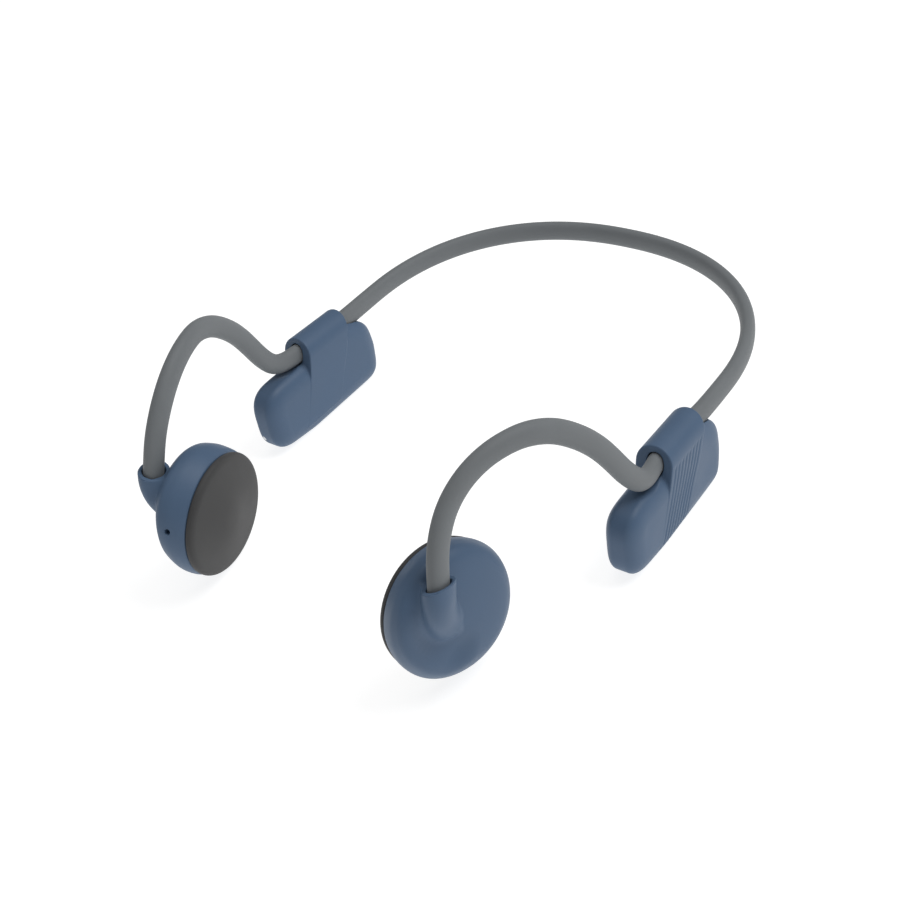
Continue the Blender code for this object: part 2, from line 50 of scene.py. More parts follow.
# tubes
HOOK_ROUTE = [
    (36.5, -57.8, 29.8), (36.0, -56.4, 34.0), (35.6, -54.5, 38.6), (35.6, -50.9, 43.6), (36.5, -46.2, 47.2),
    (38.0, -41.1, 49.1), (39.8, -36.1, 49.5), (41.4, -31.9, 48.8), (43.2, -26.7, 46.1), (45.0, -21.5, 41.3),
    (46.4, -17.7, 36.5), (47.4, -14.7, 31.6), (48.2, -11.8, 26.6), (49.0, -8.2, 22.0), (49.1, -4.6, 20.3),
    (48.5, -0.6, 20.3), (48.4, 5.2, 20.0),
]
HOOK_HALF_WIDE = 1.76
HOOK_HALF_TALL = 2.43
HOOK_POWER = 2.1
BAND_HALF_SPAN = 48.7
BAND_STRAIGHT_END = 31.0
BAND_DEPTH = 46.7
BAND_POWER = 2.2
BAND_HEIGHT = 19.05
BAND_REAR_RISE = 0.75
BAND_HALF_WIDE = 1.70
BAND_HALF_TALL = 2.55
BORE_HALF_WIDE = 0.95
BORE_HALF_TALL = 1.70

# pods
POD_X = 48.3
POD_HALF_THICK = 4.0
POD_EDGE = 2.7           # rounding across the thickness
POD_EDGE_REACH = 4.6     # the same rounding, along the faces
POD_OUTLINE = [(23.3, 0.0, 4.6), (23.95, 9.0, 5.0), (22.8, 16.2, 6.0), (13.0, 21.0, 5.0),
               (3.0, 18.2, 3.0), (-17.1, 18.2, 6.5), (-17.0, 1.5, 6.5), (-3.0, 0.0, 12.0)]
CAVITY_OUTLINE = [(20.4, 1.5, 3.2), (20.4, 11.0, 3.6), (16.8, 15.2, 2.5),
                  (-15.4, 15.2, 4.8), (-15.4, 2.8, 4.8), (-3.0, 1.5, 8.0)]
CAVITY_HALF_THICK = 2.7
CAVITY_EDGE = 1.2
ARCH_TOP = 24.35
ARCH_FALL = 0.045
ARCH_RADIUS = 4.2
ARCH_FRONT = [(1.9, -7.3), (6.1, -5.2), (11.3, -3.1), (17.1, -1.35), (24.8, 0.35)]      # (z, y)
ARCH_REAR = [(1.6, 6.0), (5.5, 7.55), (10.6, 10.0), (14.55, 12.1), (18.6, 13.5), (21.6, 14.5), (24.8, 15.8)]
ARCH_HALF_THICK = 3.86       # at the foot, growing by ARCH_WIDENING towards the top
ARCH_WIDENING = 0.34
ARCH_FOOT = 3.0
ARCH_EDGE = 0.30
ARCH_JOIN = 0.22             # fillet between the arch and the case
RIBS = 9
GROOVE_DEPTH = 0.16
GROOVE_HALF_WIDE = 0.30
TUNNEL_PLAY = 0.18

# controls of the right pod
VOLUME_BUTTONS = {"volume_down_button": 3.0, "volume_up_button": 11.0}      # place along the pod
VOLUME_HALF_LONG = 3.0
VOLUME_HALF_WIDE = 1.25
MULTI_BUTTON_YZ = (-10.2, 9.4)
MULTI_RADIUS = 3.0
CONTROL_PLAY = 0.15
CONTROL_EDGE = 0.3           # rounding of the openings' edges
PORT_Z = 6.6
PORT_FACE_Y = 21.95          # where the recess for the cover ends
PORT_RECESS = (4.85, 2.25, 1.7)      # half height, half width, corner radius
PORT_OPENING = (4.0, 1.65, 1.5)
PORT_COVER = (4.68, 2.08, 1.6)
PORT_PLUG = (2.9, 0.7, 0.65)
PORT_EDGE = 0.25
LIGHT_XYZ = (49.6, -16.6, 5.3)
LIGHT_HALF_WIDE = 0.46
LIGHT_HALF_TALL = 0.80
LIGHT_REACH = 2.6

# earpieces: rim centre, outward, short (to the rear) and long axes
EAR_CENTRE = np.array((28.86, -49.82, 15.46))
EAR_OUT = np.array((0.966, -0.222, 0.132))
EAR_LONG_HINT = np.array((-0.21, -0.377, 0.902))
EAR_SHORT_RADIUS = 13.76
EAR_LONG_RADIUS = 15.01
EAR_RADIUS = 14.4
DRAWN_TOWARDS = (-0.80, -0.60)       # direction along the short and long axes in which the cup is drawn in
CUP_REARWARD = 0.2
CUP_CLIMB = 3.3              # the cup leans upwards by this much, between these depths
CUP_CLIMB_DEPTHS = (-0.6, 8.8)
RIM_DRAWN_IN = 0.062         # shares of the radius, at the front and below
CHEEK_DRAWN_IN = 0.010
CROWN_DRAWN_IN = 0.052
CHEEK_DEPTHS = (-1.0, 4.2)   # from the rim's share to the cheek's
CROWN_DEPTHS = (4.8, 9.0)    # from the cheek's share to the crown's
CUP_RIM = 0.7
CUP_PROFILE = [(14.25, 0.3), (14.60, 2.0), (14.50, 4.0), (14.0, 5.5), (13.45, 6.6), (12.4, 7.6),
               (11.0, 8.3), (8.6, 8.8), (5.2, 9.15), (2.5, 9.3), (0.0, 9.35)]       # (radius, depth)
CUP_HOLLOW = [(0.0, -3.0), (13.0, -3.0), (13.0, 0.5), (12.85, 3.0), (12.3, 5.0), (11.0, 6.3),
              (9.0, 6.8), (0.0, 6.8)]
PAD_PROFILE = [(14.0, 0.65), (14.38, 0.50), (14.46, 0.0), (14.20, -0.55), (13.5, -0.92), (12.5, -1.12),
               (10.5, -1.40), (8.0, -1.75), (5.5, -2.10), (3.5, -2.36), (2.0, -2.50), (0.6, -2.56)]
RIDGE_ROUTE = [(36.1, -55.5, 35.2), (36.3, -57.05, 31.9), (36.35, -57.8, 28.8), (35.9, -57.7, 25.5),
               (35.2, -56.6, 22.3), (34.7, -55.2, 20.0)]
RIDGE_HALF_WIDE = 2.70
RIDGE_HALF_TALL = 3.70
MOUTH_Z = 31.2               # the collar's mouth is cut aslant
MOUTH_SLANT = (0.40, -0.22)
MOUTH_MIDDLE = (36.25, -57.2)        # where the cut is at MOUTH_Z
MOUTH_STEEPNESS = 1.10
SOCKET_ROUTE = [(35.75, -55.6, 36.0), (36.1, -56.6, 32.9), (36.50, -57.65, 30.1)]
SOCKET_PLAY = 0.26
VALLEY_ROUTE = [(-8.6, 10.0, 14.7), (-8.2, 5.0, 13.1), (-7.0, -1.5, 13.1)]     # earpiece axes
VALLEY_RADIUS = 5.6
VALLEY_BLEND = 2.4
CREASE_BLEND = 0.35          # where the ridge meets the cup from above, and more than that below it
FOOT_BLEND = 1.7
MIC_TURN = math.radians(135.0)       # place of the microphone hole round the cup
MIC_DEPTH = 4.2
MIC_CLIMB = 1.2
MIC_RADIUS = 0.6
MIC_REACH = 2.6


# ---------------------------------------------------------------- numbers and curves

def smooth_min(a, b, k):
    """The smaller of two fields, with a fillet of about k where they meet."""
    h = np.maximum(k - np.abs(a - b), 0.0) / k
    return np.minimum(a, b) - 0.25 * k * h * h


def smooth_max(a, b, k):
    return -smooth_min(-a, -b, k)


def ease(low, high, x):
    """From 0 at low to 1 at high, with a soft start and end."""
    t = np.clip((x - low) / (high - low), 0.0, 1.0)
    return t * t * (3.0 - 2.0 * t)


def unit(v):
    return v / np.linalg.norm(v, axis=-1, keepdims=True)


def catmull(points, steps):
    """A smooth curve through points."""
    route = np.array(points, float)
    ends = np.vstack([2 * route[0] - route[1], route, 2 * route[-1] - route[-2]])
    out = []
    for i in range(1, len(ends) - 2):
        a, b, c, d = ends[i - 1:i + 3]
        for s in range(steps):
            t = s / steps
            out.append(0.5 * (2 * b + (c - a) * t + (2 * a - 5 * b + 4 * c - d) * t * t
                              + (3 * b - a - 3 * c + d) * t ** 3))
    out.append(route[-1])
    return np.array(out)


def even(points, spacing):
    """The same curve with even spacing."""
    run = np.concatenate([[0.0], np.cumsum(np.linalg.norm(np.diff(points, axis=0), axis=1))])
    count = max(2, int(round(run[-1] / spacing)) + 1)
    at = np.linspace(0.0, run[-1], count)
    return np.stack([np.interp(at, run, points[:, k]) for k in range(points.shape[1])], 1)


def fair(points, spacing, passes):
    """An even curve with its small kinks smoothed away, its ends kept."""
    out = even(points, spacing)
    for _ in range(passes):
        out[1:-1] += 0.25 * (out[:-2] + out[2:] - 2 * out[1:-1])
    return even(out, spacing)


def round_outline(corners, steps=9):
    """A closed outline in (y, z) from corners with radii."""
    out = []
    for i, (y, z, radius) in enumerate(corners):
        here = np.array((y, z))
        before = np.array(corners[i - 1][:2]) - here
        after = np.array(corners[(i + 1) % len(corners)][:2]) - here
        cosine = before @ after / np.linalg.norm(before) / np.linalg.norm(after)
        reach = radius / math.tan(math.acos(cosine) / 2.0)
        reach = min(reach, 0.49 * np.linalg.norm(before), 0.49 * np.linalg.norm(after))
        start, end = here + unit(before) * reach, here + unit(after) * reach
        for s in range(steps + 1):
            t = s / steps
            out.append((1 - t) ** 2 * start + 2 * t * (1 - t) * here + t * t * end)
    return np.array(out)


def faired_loop(outline, spacing, passes):
    """A closed outline with even points and its corners blended."""
    out = even(np.vstack([outline, outline[:1]]), spacing)[:-1]
    for _ in range(passes):
        out = out + 0.25 * (np.roll(out, 1, axis=0) + np.roll(out, -1, axis=0) - 2 * out)
    return out


def in_parts(work, points, size=60000):
    """Run a field over many points, a part at a time."""
    return np.concatenate([work(points[i:i + size]) for i in range(0, len(points), size)])


def polygon_distance(px, py, polygon):
    """Distance from points to a closed outline, negative inside."""
    best = np.full(len(px), 1e9)
    inside = np.zeros(len(px), bool)
    for (ax, ay), (bx, by) in zip(polygon, np.roll(polygon, -1, axis=0)):
        ex, ey = bx - ax, by - ay
        length = ex * ex + ey * ey
        if length < 1e-12:
            continue
        wx, wy = px - ax, py - ay
        t = np.clip((wx * ex + wy * ey) / length, 0.0, 1.0)
        best = np.minimum(best, (wx - t * ex) ** 2 + (wy - t * ey) ** 2)
        if ay != by:
            crossing = ((ay > py) != (by > py)) & (px < ex * (py - ay) / ey + ax)
            inside ^= crossing
    return np.where(inside, -1.0, 1.0) * np.sqrt(best)


def rounded_slab(outline, x, half_thick, edge, reach):
    """A flat case with rounded edges, from the distance to its outline; reach is the rounding along the faces."""
    across, up = (outline + reach) / reach, (np.abs(x) - (half_thick - edge)) / edge
    outside = np.sqrt(np.maximum(across, 0.0) ** 2 + np.maximum(up, 0.0) ** 2)
    return (outside + np.minimum(np.maximum(across, up), 0.0) - 1.0) * edge


class Tube:
    """A route with a section frame at each point."""

    def __init__(self, route, hint, half_wide, half_tall, power):
        self.route = route
        ahead = np.gradient(route, axis=0)
        self.ahead = unit(ahead)
        side = np.array([hint(a) for a in self.ahead])
        side = side - self.ahead * np.sum(side * self.ahead, 1, keepdims=True)
        self.wide = unit(side)
        self.tall = np.cross(self.wide, self.ahead)
        self.half_wide, self.half_tall, self.power = half_wide, half_tall, power

    def rings(self, sides, half_wide=None, half_tall=None):
        """Section rings, as rows of points."""
        half_wide = half_wide or self.half_wide
        half_tall = half_tall or self.half_tall
        turn = 2.0 * np.pi * np.arange(sides) / sides
        c, s = np.cos(turn), np.sin(turn)
        u = np.sign(c) * np.abs(c) ** (2.0 / self.power) * half_wide
        v = np.sign(s) * np.abs(s) ** (2.0 / self.power) * half_tall
        return (self.route[:, None] + self.wide[:, None] * u[None, :, None]
                + self.tall[:, None] * v[None, :, None])

    def distance(self, p, play=0.0):
        """Rough distance to the tube's skin, and the place across the section; the ends are rounded."""
        a, b = self.route[:-1], self.route[1:]
        best = np.full(len(p), 1e9)
        where = np.zeros(len(p))
        for i, (start, end) in enumerate(zip(a, b)):
            e = end - start
            t = np.clip((p - start) @ e / (e @ e), 0.0, 1.0)
            d = np.sum((p - start - t[:, None] * e) ** 2, 1)
            near = d < best
            best[near] = d[near]
            where[near] = i + t[near]
        index = np.minimum(where.astype(int), len(a) - 1)
        part = (where - index)[:, None]
        centre = self.route[index] * (1 - part) + self.route[index + 1] * part
        wide = unit(self.wide[index] * (1 - part) + self.wide[index + 1] * part)
        tall = unit(self.tall[index] * (1 - part) + self.tall[index + 1] * part)
        rel = p - centre
        u, v = np.sum(rel * wide, 1), np.sum(rel * tall, 1)
        beyond = (where <= 1e-6) | (where >= len(a) - 1e-6)
        along = np.sqrt(np.maximum(np.sum(rel * rel, 1) - u * u - v * v, 0.0)) * beyond
        reach = np.sqrt(u * u + v * v + along * along) + 1e-9
        full = ((np.abs(u) / (self.half_wide + play)) ** self.power
                + (np.abs(v) / (self.half_tall + play)) ** self.power
                + (along / (self.half_wide + play)) ** self.power) ** (1.0 / self.power) + 1e-9
        skin = np.maximum(reach * (1.0 - 1.0 / full), -min(self.half_wide, self.half_tall) - play)
        return skin, u, v


def level(ahead):
    return np.cross(ahead, (0.0, 0.0, 1.0))


def sideways(_ahead):
    return np.array((1.0, 0.0, 0.0))


def tunnel_height(y):
    return 20.35 - 0.063 * y


def band_route():
    """The whole U of the neckband, from the left tunnel round the back to the right tunnel."""
    half = [(48.35, y, tunnel_height(y)) for y in (10.1, 11.5, 13.0, 14.7, 16.5)]
    half += [(48.55, 20.0, 19.12), (48.68, 25.5, 19.05)]
    steps = 60
    for i in range(steps + 1):
        turn = 0.5 * math.pi * i / steps
        rise = math.sin(turn) ** (2.0 / BAND_POWER)
        half.append((BAND_HALF_SPAN * math.cos(turn) ** (2.0 / BAND_POWER),
                     BAND_STRAIGHT_END + BAND_DEPTH * rise, BAND_HEIGHT + BAND_REAR_RISE * rise * rise))
    other = [(-x, y, z) for x, y, z in reversed(half[:-1])]
    return np.array(half + other)


# ---------------------------------------------------------------- meshes

def object_from(name, points, faces, finish, mirrored=False, own_normals=False):
    """A smooth mesh object in metres; sharp edges are marked unless it gets its own normals later."""
    side = -1.0 if mirrored else 1.0
    points = (np.asarray(points, float) + (0.0, ORIGIN_Y, 0.0)) * MM * (side, 1.0, 1.0)
    faces = [list(f) for f in faces]
    if mirrored:
        faces = [f[::-1] for f in faces]
    mesh = bpy.data.meshes.new(name)
    mesh.from_pydata(points.tolist(), [], faces)
    mesh.materials.append(finish)
    mesh.shade_smooth()
    made = bpy.data.objects.new(name, mesh)
    bpy.context.scene.collection.objects.link(made)
    if not own_normals:
        mesh.set_sharp_from_angle(angle=math.radians(38.0))
    return made


def surface_net(values, places):
    """Quads on the zero level of a field sampled on a grid of places."""
    shape = np.array(values.shape)
    cell_ids, crossings, quads = [], [], []
    strides = np.array((shape[1] * shape[2], shape[2], 1))
    for axis in range(3):
        first = [slice(None)] * 3
        second = [slice(None)] * 3
        first[axis], second[axis] = slice(0, -1), slice(1, None)
        va, vb = values[tuple(first)], values[tuple(second)]
        at = np.argwhere((va < 0) != (vb < 0))
        start, end = va[tuple(at.T)], vb[tuple(at.T)]
        t = (start / (start - end))[:, None]
        ahead = np.zeros(3, int)
        ahead[axis] = 1
        place = places[tuple(at.T)] * (1 - t) + places[tuple((at + ahead).T)] * t
        u, v = np.zeros(3, int), np.zeros(3, int)
        u[(axis + 1) % 3] = 1
        v[(axis + 2) % 3] = 1
        corners = [at @ strides, (at - u) @ strides, (at - u - v) @ strides, (at - v) @ strides]
        for ids in corners:
            cell_ids.append(ids)
            crossings.append(place)
        quad = np.stack(corners, 1)
        flipped = start > 0
        quad[flipped] = quad[flipped][:, ::-1]
        quads.append(quad)
    cell_ids = np.concatenate(cell_ids)
    crossings = np.concatenate(crossings)
    kept, index = np.unique(cell_ids, return_inverse=True)
    count = np.bincount(index)
    points = np.stack([np.bincount(index, crossings[:, k]) / count for k in range(3)], 1)
    faces = np.searchsorted(kept, np.concatenate(quads))
    return points, faces


TETRA = np.array(((1, -1, -1), (-1, -1, 1), (-1, 1, -1), (1, 1, 1)), float)


def slope(field, p, reach=0.02):
    """The field's gradient."""
    return sum(corner * in_parts(field, p + reach * corner)[:, None] for corner in TETRA) / (4.0 * reach)


def settle(field, p, rounds=3, most=0.15):
    """Points moved onto the field's zero level."""
    for _ in range(rounds):
        g = slope(field, p)
        step = in_parts(field, p)[:, None] * g / np.maximum(np.sum(g * g, 1, keepdims=True), 0.05)
        size = np.linalg.norm(step, axis=1, keepdims=True)
        p = p - step * np.minimum(1.0, most / np.maximum(size, 1e-9))
    return p


def skin(field, places):
    """The closed surface of a field: points and quads."""
    flat = places.reshape(-1, 3)
    values = in_parts(field, flat).reshape(places.shape[:3])
    points, faces = surface_net(values, places)
    return settle(field, points), faces


def corner_normals(mesh_object, field, mirrored):
    """Shade the surface by the field's own slope, and flat where a face was cut across it."""
    mesh = mesh_object.data
    side = np.array((-1.0 if mirrored else 1.0, 1.0, 1.0))
    co = np.empty(len(mesh.vertices) * 3, np.float32)
    mesh.vertices.foreach_get("co", co)
    co = co.reshape(-1, 3).astype(float)
    local = co * side / MM - (0.0, ORIGIN_Y, 0.0)
    smooth = unit(slope(field, local)) * side
    loop_vertex = np.empty(len(mesh.loops), np.int32)
    mesh.loops.foreach_get("vertex_index", loop_vertex)
    flat = np.empty(len(mesh.polygons) * 3, np.float32)
    mesh.polygons.foreach_get("normal", flat)
    totals = np.empty(len(mesh.polygons), np.int32)
    mesh.polygons.foreach_get("loop_total", totals)
    flat = np.repeat(flat.reshape(-1, 3), totals, axis=0)
    wanted = smooth[loop_vertex]
    off = np.sum(wanted * flat, 1) < 0.6
    wanted[off] = flat[off]
    mesh.normals_split_custom_set(wanted.tolist())


def tube_mesh(outer, inner):
    """A sleeve open at both ends, from equal sets of outer and inner rings."""
    rows, sides = outer.shape[:2]
    points = np.concatenate([outer.reshape(-1, 3), inner.reshape(-1, 3)])
    faces = []
    base = rows * sides
    for i in range(rows - 1):
        for j in range(sides):
            k = (j + 1) % sides
            faces.append((i * sides + j, i * sides + k, (i + 1) * sides + k, (i + 1) * sides + j))
            faces.append((base + i * sides + k, base + i * sides + j,
                          base + (i + 1) * sides + j, base + (i + 1) * sides + k))
    last = (rows - 1) * sides
    for j in range(sides):
        k = (j + 1) % sides
        faces.append((j, base + j, base + k, k))
        faces.append((last + k, base + last + k, base + last + j, last + j))
    return points, faces


def loft_mesh(rings):
    """A closed solid through rings of equal count, each end closed by a centre point."""
    rows, sides = rings.shape[:2]
    points = np.concatenate([rings.reshape(-1, 3), rings[:1].mean(1), rings[-1:].mean(1)])
    faces = []
    for i in range(rows - 1):
        for j in range(sides):
            k = (j + 1) % sides
            faces.append((i * sides + j, i * sides + k, (i + 1) * sides + k, (i + 1) * sides + j))
    first, last, row = rows * sides, rows * sides + 1, (rows - 1) * sides
    for j in range(sides):
        k = (j + 1) % sides
        faces.append((k, j, first))
        faces.append((row + j, row + k, last))
    return points, faces


def outward(points, faces):
    """The same faces, all turned outwards."""
    points = np.asarray(points)
    volume = 0.0
    for face in faces:
        a = points[face[0]]
        for i in range(1, len(face) - 1):
            volume += a @ np.cross(points[face[i]], points[face[i + 1]])
    return faces if volume > 0 else [tuple(reversed(f)) for f in faces]


# ---------------------------------------------------------------- pods

POD_POLYGON = faired_loop(round_outline(POD_OUTLINE), 0.4, 14)
CAVITY_POLYGON = round_outline(CAVITY_OUTLINE, 5)
HOOK_LINE = fair(catmull(HOOK_ROUTE, 8), 0.5, 20)
HOOK = Tube(HOOK_LINE, sideways, HOOK_HALF_WIDE, HOOK_HALF_TALL, HOOK_POWER)
BAND = Tube(fair(catmull(band_route(), 3), 0.6, 4), level, BAND_HALF_WIDE, BAND_HALF_TALL, 2.3)
TUNNEL_ROUTE = [
    *HOOK_ROUTE[-5:],
    *[(48.35, y, tunnel_height(y)) for y in (8.5, 12.0, 16.0)],
    (48.5, 20.0, 19.12), (48.6, 25.0, 19.05),
]
TUNNEL = Tube(fair(catmull(TUNNEL_ROUTE, 4), 1.2, 1), sideways, HOOK_HALF_WIDE, 2.5, 2.2)


def band_edges(z):
    """Where the arch's front and rear edges lie at a height."""
    front = np.interp(z, [p[0] for p in ARCH_FRONT], [p[1] for p in ARCH_FRONT])
    rear = np.interp(z, [p[0] for p in ARCH_REAR], [p[1] for p in ARCH_REAR])
    return front, rear


def smooth_edges():
    """The edge curves on a fine scale, with their corners faired."""
    z = np.linspace(-4.0, 30.0, 171)
    front, rear = band_edges(z)
    low, high = z < 1.9, z > 24.8
    front[low] = -7.3 - 0.5 * (1.9 - z[low])
    rear[low] = 6.1 - 0.38 * (1.9 - z[low])
    front[high] = 0.35 + 0.18 * (z[high] - 24.8)
    rear[high] = 15.8 + 0.30 * (z[high] - 24.8)
    for _ in range(60):
        for line in (front, rear):
            line[1:-1] += 0.25 * (line[:-2] + line[2:] - 2 * line[1:-1])
    return z, front, rear


EDGE_Z, EDGE_FRONT, EDGE_REAR = smooth_edges()


def edge_front(z):
    return np.interp(z, EDGE_Z, EDGE_FRONT)


def edge_rear(z):
    return np.interp(z, EDGE_Z, EDGE_REAR)


def arch_field(x, y, z):
    """The loop of the case over the tubes: half-round top, flat sides, leaning end faces."""
    half = ARCH_HALF_THICK + ARCH_WIDENING * ease(4.0, 19.0, z)
    centre = ARCH_TOP - ARCH_RADIUS - ARCH_FALL * y
    above = z > centre
    side = np.where(above, np.sqrt(x * x + (z - centre) ** 2) - half, np.abs(x) - half)
    front = (edge_front(z) - y) * 0.95
    rear = (y - edge_rear(z)) * 0.95
    ends = np.maximum(front, rear)
    solid = smooth_max(side, ends, ARCH_EDGE)
    return np.maximum(solid, ARCH_FOOT - z)


def groove_field(x, y, z):
    """How deep the fine grooves across the band cut at a point."""
    front, rear = edge_front(z), edge_rear(z)
    across = (y - front) / (rear - front) * RIBS
    nearest = np.clip(np.round(across), 1, RIBS - 1)
    off = np.abs(across - nearest) * (rear - front) / RIBS
    profile = np.exp(-(off / GROOVE_HALF_WIDE) ** 2)
    start = ease(0.0, 1.6, 20.4 - ARCH_FALL * y - z)
    return GROOVE_DEPTH * profile * start * ease(2.2, 3.2, x)


def round_rect(u, v, half_u, half_v, radius):
    """Distance to a rectangle with rounded corners."""
    qu, qv = np.abs(u) - half_u + radius, np.abs(v) - half_v + radius
    outside = np.sqrt(np.maximum(qu, 0) ** 2 + np.maximum(qv, 0) ** 2)
    return outside + np.minimum(np.maximum(qu, qv), 0) - radius


def case_field(x, y, z):
    return rounded_slab(polygon_distance(y, z, POD_POLYGON), x, POD_HALF_THICK, POD_EDGE, POD_EDGE_REACH)


def light_hole(x, y, z):
    """A small upright oval on the front lower corner."""
    u = (x - (LIGHT_XYZ[0] - POD_X)) / LIGHT_HALF_WIDE
    v = (z - LIGHT_XYZ[2]) / LIGHT_HALF_TALL
    oval = (np.sqrt(u * u + v * v) - 1.0) * LIGHT_HALF_WIDE
    return np.maximum(oval, y - LIGHT_XYZ[1] - LIGHT_REACH)


def pod_field(p, right=False):
    """The case, its arch, the tunnel, the cavity and, on the right side, the openings for the controls."""
    x, y, z = p[:, 0] - POD_X, p[:, 1], p[:, 2]
    body = smooth_min(case_field(x, y, z), arch_field(x, y, z), ARCH_JOIN) + groove_field(x, y, z)
    channel = np.full(len(p), 9.0)
    high = z > 13.5
    channel[high] = TUNNEL.distance(p[high], TUNNEL_PLAY)[0]
    soften = 0.14 + 1.4 * (1.0 - ease(-6.0, -1.0, y))
    body = smooth_max(body, -channel, soften)
    inside = polygon_distance(y, z, CAVITY_POLYGON)
    cavity = rounded_slab(inside, x, CAVITY_HALF_THICK, CAVITY_EDGE, CAVITY_EDGE)
    body = np.maximum(body, -cavity)
    if not right:
        return body
    for middle in VOLUME_BUTTONS.values():
        half_long, half_wide = VOLUME_HALF_LONG + CONTROL_PLAY, VOLUME_HALF_WIDE + CONTROL_PLAY
        slot = np.maximum(round_rect(y - middle, x, half_long, half_wide, 1.38), z - 2.4)
        body = smooth_max(body, -slot, CONTROL_EDGE)
    by, bz = MULTI_BUTTON_YZ
    hole = np.maximum(np.sqrt((y - by) ** 2 + (z - bz) ** 2) - MULTI_RADIUS - CONTROL_PLAY, 2.0 - x)
    body = smooth_max(body, -hole, CONTROL_EDGE)
    recess = np.maximum(round_rect(z - PORT_Z, x, *PORT_RECESS), PORT_FACE_Y - y)
    body = smooth_max(body, -recess, PORT_EDGE)
    port = np.maximum(round_rect(z - PORT_Z, x, *PORT_OPENING), 19.0 - y)
    body = smooth_max(body, -port, PORT_EDGE)
    return smooth_max(body, -light_hole(x, y, z), 0.12)


def pod_places():
    """Grid places whose columns follow the band's edges and its grooves."""
    step = 0.27 * DETAIL
    x = POD_X + np.linspace(-4.75, 4.75, int(9.5 / step) + 1)
    z = np.linspace(-0.7, 25.5, int(26.2 / step) + 1)
    count_front = int(15.0 / step)
    count_rear = int(12.5 / step)
    per_rib = np.array((0.10, 0.22, 0.34, 0.5, 0.66, 0.78, 0.90, 1.0))
    across = np.concatenate([(i + per_rib) / RIBS for i in range(RIBS)])[:-1]
    front, rear = edge_front(z), edge_rear(z)
    low, high = -17.9, 24.3
    t_front = np.linspace(0.0, 1.0, count_front + 1)[:-1]
    t_rear = np.linspace(0.0, 1.0, count_rear + 1)[1:]
    beside = np.array((-0.09, 0.09))[:, None]      # the end faces lie between two columns, never on one
    y = np.sort(np.concatenate([
        low + t_front[:, None] * (front - low)[None, :],
        front[None, :] + across[:, None] * (rear - front)[None, :],
        rear[None, :] + t_rear[:, None] * (high - rear)[None, :],
        front[None, :] + beside,
        rear[None, :] + beside,
    ]), axis=0)
    shape = (len(x), len(y), len(z))
    places = np.empty(shape + (3,))
    places[..., 0] = x[:, None, None]
    places[..., 1] = y[None]
    places[..., 2] = z[None, None, :]
    return places


def add_pod(side, mirrored, finish):
    """The case as seen: its two shells meet without a visible line, so one piece stands for both."""
    field = lambda p: pod_field(p, mirrored)
    points, faces = skin(field, pod_places())
    faces = outward(points, faces.tolist())
    piece = object_from(f"pod_case_{side}", points, faces, finish, mirrored, own_normals=True)
    corner_normals(piece, field, mirrored)
    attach(piece, "frame")
    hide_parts(f"pod_outer_shell_{side}", f"pod_inner_shell_{side}")


# ---------------------------------------------------------------- earpieces

def ear_axes():
    out = unit(EAR_OUT)
    long_axis = unit(EAR_LONG_HINT - out * (EAR_LONG_HINT @ out))
    return unit(np.cross(long_axis, out)), long_axis, out


EAR_S, EAR_L, EAR_N = ear_axes()
RIDGE = Tube(fair(catmull(RIDGE_ROUTE, 8), 0.6, 4), sideways, RIDGE_HALF_WIDE, RIDGE_HALF_TALL, 2.0)
VALLEY_POINTS = [EAR_CENTRE + a * EAR_S + b * EAR_L + w * EAR_N for a, b, w in VALLEY_ROUTE]
VALLEY = Tube(fair(catmull(VALLEY_POINTS, 4), 0.9, 2), sideways, VALLEY_RADIUS, VALLEY_RADIUS, 2.0)
SOCKET = Tube(fair(catmull(SOCKET_ROUTE, 6), 0.6, 2), sideways, HOOK_HALF_WIDE, HOOK_HALF_TALL, HOOK_POWER)
CUP_POLYGON = even(catmull([(-4.0, 9.35)] + list(reversed(CUP_PROFILE)), 6), 0.5)
CUP_POLYGON = np.vstack([CUP_POLYGON, [(14.2, -3.0), (-4.0, -3.0)]])


def ear_local(p):
    """A point's place along the earpiece's short, long and outward axes."""
    rel = p - EAR_CENTRE
    return rel @ EAR_S, rel @ EAR_L, rel @ EAR_N


def swell(a, b, w):
    """The cup's outline is drawn in towards the front and below, by a share that changes with depth."""
    reach = np.sqrt(a * a + b * b) + 1e-9
    towards = np.maximum((DRAWN_TOWARDS[0] * a + DRAWN_TOWARDS[1] * b) / reach, 0.0) ** 2
    share = (RIM_DRAWN_IN + (CHEEK_DRAWN_IN - RIM_DRAWN_IN) * ease(*CHEEK_DEPTHS, w)
             + (CROWN_DRAWN_IN - CHEEK_DRAWN_IN) * ease(*CROWN_DEPTHS, w))
    return 1.0 - towards * share


def ear_radius(a, b, w):
    """How far out a point lies from the cup's leaning middle line, as if the cup were round."""
    climb = ease(*CUP_CLIMB_DEPTHS, w)
    a = a - CUP_REARWARD * climb
    b = b - CUP_CLIMB * climb
    r = np.sqrt((a / EAR_SHORT_RADIUS) ** 2 + (b / EAR_LONG_RADIUS) ** 2) * EAR_RADIUS
    return r / swell(a, b, w)


def mic_hole(p):
    """A short round hole into the cup's side."""
    across, along = math.cos(MIC_TURN), math.sin(MIC_TURN)
    out = EAR_S * across + EAR_L * along
    middle = (EAR_CENTRE + EAR_S * EAR_SHORT_RADIUS * across
              + EAR_L * (EAR_LONG_RADIUS * along + MIC_CLIMB) + EAR_N * MIC_DEPTH)
    rel = p - middle
    run = rel @ out
    hole = np.sqrt(np.maximum(np.sum(rel * rel, 1) - run * run, 0.0)) - MIC_RADIUS
    return np.maximum(hole, np.abs(run) - MIC_REACH)


